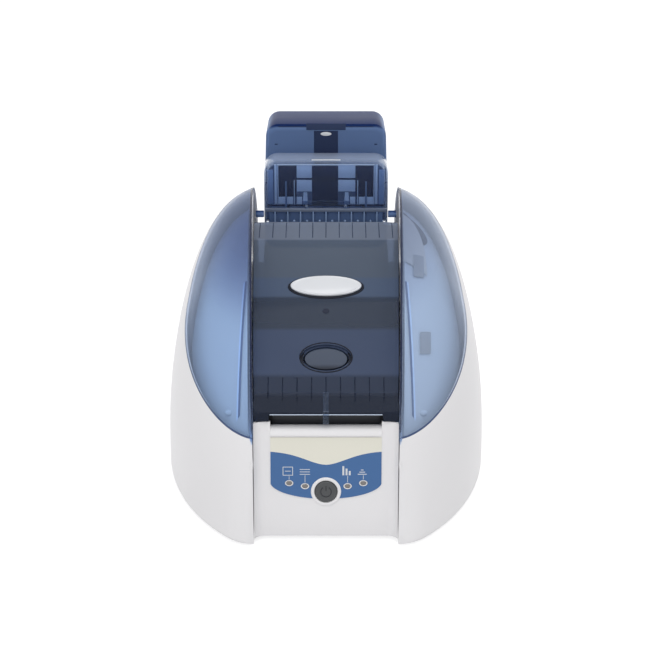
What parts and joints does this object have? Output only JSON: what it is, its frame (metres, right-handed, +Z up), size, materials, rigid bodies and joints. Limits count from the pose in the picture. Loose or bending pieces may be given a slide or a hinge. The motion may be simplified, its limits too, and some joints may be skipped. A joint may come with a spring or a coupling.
{
  "type": "id card printer",
  "caption": "Desktop plastic-card printer with curved flanks, see-through side wings, a hinged hood, a rear card feeder and a front exit slot.",
  "frame": {"origin": "under the middle of the whole machine, on the table that it stands on", "axes": "+Z up, +X to the right as seen from the front, -Y the front with the control panel, +Y the rear with the card feeder"},
  "size_m": [0.2112, 0.292, 0.201],
  "materials": {
    "white_case": "fine satin moulded plastic",
    "blue_wing": "clear tinted plastic, polished",
    "inner_white": "matt moulded plastic",
    "printed_label": "printed film",
    "led_lens": "unlit lens",
    "button_grey": "fine grain",
    "circuit_board": "solder mask",
    "black_plastic": "matt moulded plastic",
    "smoke_hood": "smoked clear plastic, polished",
    "badge_silver": "pearl silver",
    "latch_dark": "smoked clear plastic",
    "steel": "bright zinc plate",
    "feeder_blue": "clear tinted plastic",
    "feeder_clear": "clear tinted plastic, polished",
    "roller_rubber": "ground rubber",
    "cleaning_rubber": "tacky soft rubber",
    "head_ceramic": "glazed ceramic",
    "heat_sink": "extruded",
    "ribbon_dark": "wound film",
    "motor_dark": "black paint"
  },
  "bodies": {
    "frame": {"base_tray": "white_case", "left_side_shell": "white_case", "right_side_shell": "white_case", "left_wing_cover": "blue_wing", "right_wing_cover": "blue_wing", "left_inner_housing": "inner_white", "right_inner_housing": "inner_white", "front_panel": "white_case", "control_label": "printed_label", "indicator_leds": "led_lens", "panel_board": "circuit_board", "card_exit_guide": "black_plastic", "hood_hinge_pin": "steel", "hinge_bridge": "feeder_blue", "rear_deck": "white_case", "rear_panel": "white_case", "feeder_body": "feeder_blue", "feeder_gate": "feeder_clear", "feeder_hinge_pin": "steel", "left_side_plate": "steel", "right_side_plate": "steel", "cross_bars": "steel", "card_bed": "inner_white", "ribbon_film": "ribbon_dark", "drive_motor": "motor_dark", "motor_belt": "roller_rubber", "path_belt": "roller_rubber", "main_board": "circuit_board", "power_inlet": "black_plastic", "data_socket": "steel", "rubber_feet": "roller_rubber", "plate_screws": "steel", "panel_screws": "steel"},
    "hood": {"top_cover": "smoke_hood", "cover_badge": "badge_silver"},
    "hood_button": {"latch_button": "latch_dark"},
    "hood_hook": {"latch_hook": "inner_white"},
    "power_switch": {"power_button": "button_grey"},
    "lid": {"feeder_lid": "feeder_blue"},
    "stack_weight": {"card_weight": "black_plastic"},
    "thickness_gauge": {"card_gauge": "feeder_clear"},
    "feed_drive": {"feed_roller": "roller_rubber"},
    "rear_drive": {"rear_drive_roller": "roller_rubber"},
    "platen": {"platen_roller": "roller_rubber"},
    "front_drive": {"front_drive_roller": "roller_rubber"},
    "rear_pinch": {"rear_pinch_roller": "steel"},
    "front_pinch": {"front_pinch_roller": "steel"},
    "cleaner": {"cleaning_roller": "cleaning_rubber"},
    "head": {"head_carrier": "black_plastic", "print_head": "head_ceramic", "head_heat_sink": "heat_sink"},
    "ribbon_supply": {"supply_spool": "ribbon_dark"},
    "ribbon_take_up": {"take_up_spool": "ribbon_dark"},
    "motor_rotor": {"motor_pulley": "steel"}
  },
  "joints": [
    {"name": "hood_hinge", "type": "hinge", "parent": "frame", "child": "hood", "pos_m": [0, 0.049, 0.137], "axis": [-1, 0, 0], "range_deg": [0, 70]},
    {"name": "hood_button_press", "type": "slide", "parent": "hood", "child": "hood_button", "axis": [0, 0.4977, -0.8674], "range_m": [0, 0.002], "stiffness_N_per_m": 400, "springref_m": -0.0012},
    {"name": "hood_hook_turn", "type": "hinge", "parent": "hood", "child": "hood_hook", "pos_m": [0, -0.0945, 0.09183], "axis": [-1, 0, 0], "range_deg": [0, 13.9]},
    {"name": "power_press", "type": "slide", "parent": "frame", "child": "power_switch", "axis": [0, 0.9848, -0.1736], "range_m": [0, 0.0015], "stiffness_N_per_m": 500, "springref_m": -0.001},
    {"name": "lid_hinge", "type": "hinge", "parent": "frame", "child": "lid", "pos_m": [0, 0.1438, 0.15815], "axis": [-1, 0, 0], "range_deg": [0, 95]},
    {"name": "weight_slide", "type": "slide", "parent": "frame", "child": "stack_weight", "axis": [0, 0, 1], "range_m": [0, 0.06]},
    {"name": "gauge_slide", "type": "slide", "parent": "frame", "child": "thickness_gauge", "axis": [0, 0, 1], "range_m": [0, 0.001]},
    {"name": "platen_spin", "type": "hinge", "parent": "frame", "child": "platen", "pos_m": [0, -0.024, 0.0736], "axis": [1, 0, 0], "continuous": true},
    {"name": "front_drive_spin", "type": "hinge", "parent": "frame", "child": "front_drive", "pos_m": [0, -0.106, 0.0736], "axis": [1, 0, 0], "continuous": true},
    {"name": "rear_drive_spin", "type": "hinge", "parent": "frame", "child": "rear_drive", "pos_m": [0, 0.026, 0.0736], "axis": [1, 0, 0], "continuous": true},
    {"name": "feed_spin", "type": "hinge", "parent": "frame", "child": "feed_drive", "pos_m": [0, 0.094, 0.0736], "axis": [1, 0, 0], "continuous": true},
    {"name": "motor_spin", "type": "hinge", "parent": "frame", "child": "motor_rotor", "pos_m": [0, -0.05, 0.038], "axis": [1, 0, 0], "continuous": true},
    {"name": "front_pinch_spin", "type": "hinge", "parent": "frame", "child": "front_pinch", "pos_m": [0, -0.106, 0.0844], "axis": [1, 0, 0], "continuous": true},
    {"name": "rear_pinch_spin", "type": "hinge", "parent": "frame", "child": "rear_pinch", "pos_m": [0, 0.026, 0.0844], "axis": [1, 0, 0], "continuous": true},
    {"name": "cleaner_spin", "type": "hinge", "parent": "frame", "child": "cleaner", "pos_m": [0, 0.044, 0.0854], "axis": [1, 0, 0], "continuous": true},
    {"name": "supply_spin", "type": "hinge", "parent": "frame", "child": "ribbon_supply", "pos_m": [0, 0.004, 0.112], "axis": [1, 0, 0], "continuous": true},
    {"name": "take_up_spin", "type": "hinge", "parent": "frame", "child": "ribbon_take_up", "pos_m": [0, -0.062, 0.098], "axis": [1, 0, 0], "continuous": true},
    {"name": "head_lift", "type": "hinge", "parent": "frame", "child": "head", "pos_m": [0, -0.046, 0.112], "axis": [1, 0, 0], "range_deg": [0, 18]}
  ],
  "couplings": [
    {"joint": "hood_hook_turn", "follows": "hood_button_press", "rad_per_m": 112.6},
    {"joint": "front_drive_spin", "follows": "platen_spin", "ratio": 1},
    {"joint": "rear_drive_spin", "follows": "platen_spin", "ratio": 1},
    {"joint": "feed_spin", "follows": "platen_spin", "ratio": 1},
    {"joint": "motor_spin", "follows": "platen_spin", "ratio": 1},
    {"joint": "front_pinch_spin", "follows": "platen_spin", "ratio": -1.5},
    {"joint": "rear_pinch_spin", "follows": "platen_spin", "ratio": -1.5},
    {"joint": "supply_spin", "follows": "take_up_spin", "ratio": 0.6667}
  ]
}
